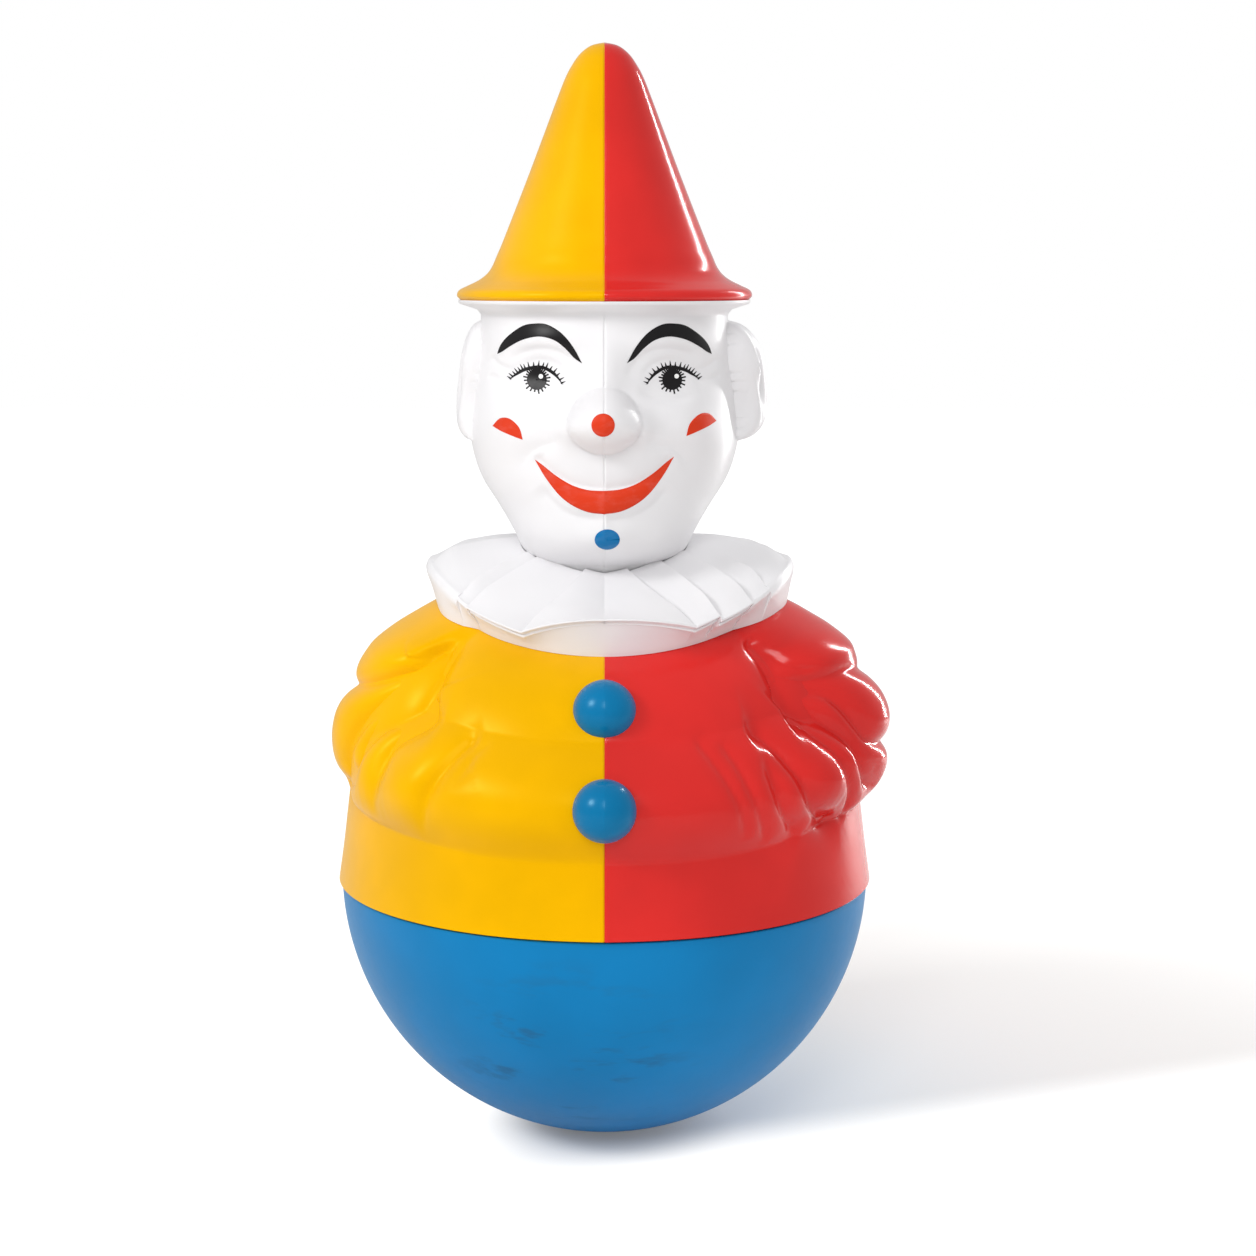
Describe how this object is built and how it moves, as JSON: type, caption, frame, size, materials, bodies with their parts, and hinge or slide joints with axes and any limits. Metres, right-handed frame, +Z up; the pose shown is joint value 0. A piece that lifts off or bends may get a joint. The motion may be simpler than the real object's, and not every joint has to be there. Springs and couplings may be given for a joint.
{
  "type": "roly poly clown toy",
  "caption": "Self-righting plastic clown: a weighted round base under a hollow figure with a pleated collar and cone hat, and a chime with a swinging clapper inside.",
  "frame": {"origin": "centre of the small flat at the pole of the round base, on the surface it rests on", "axes": "+Z up along the figure to the hat's tip, -Y the way the clown faces, +X to the clown's left"},
  "size_m": [0.1291, 0.1305, 0.2516],
  "materials": {
    "base_blue": "satin moulded plastic, lightly scuffed",
    "cast_weight": "as cast",
    "plated_steel": "zinc plated",
    "rod_steel": "drawn rod",
    "nylon_ball": "moulded nylon",
    "yellow_shell": "satin gloss moulded plastic",
    "red_shell": "satin gloss moulded plastic",
    "white_shell": "satin gloss moulded plastic",
    "button_blue": "gloss moulded plastic"
  },
  "bodies": {
    "toy": {"base_bowl": "base_blue", "weight": "cast_weight", "clamp_screw": "plated_steel", "clamp_washer": "plated_steel", "chime_plate": "plated_steel", "chime_rod_1": "rod_steel", "chime_rod_2": "rod_steel", "chime_rod_3": "rod_steel", "chime_rod_4": "rod_steel", "chime_rod_5": "rod_steel", "chime_rod_6": "rod_steel", "chime_rod_7": "rod_steel", "chime_rod_8": "rod_steel", "bridge_posts": "plated_steel", "bridge_bar": "plated_steel", "bridge_nuts": "plated_steel", "upper_pin": "plated_steel", "body_right_half": "yellow_shell", "body_left_half": "red_shell", "upper_button": "button_blue", "lower_button": "button_blue", "collar_right_half": "white_shell", "collar_left_half": "white_shell", "head_right_half": "white_shell", "head_left_half": "white_shell", "hat_right_half": "yellow_shell", "hat_left_half": "red_shell"},
    "clapper_link": {"clapper_link": "plated_steel"},
    "clapper": {"lower_pin": "plated_steel", "clapper_stem": "plated_steel", "clapper_ball": "nylon_ball"}
  },
  "joints": [
    {"name": "clapper_sideways", "type": "hinge", "parent": "toy", "child": "clapper_link", "pos_m": [0, 0, 0.08758], "axis": [0, 1, 0], "range_deg": [-18, 18]},
    {"name": "clapper_fore_aft", "type": "hinge", "parent": "clapper_link", "child": "clapper", "pos_m": [0, 0, 0.07458], "axis": [1, 0, 0], "range_deg": [-24, 24]}
  ]
}
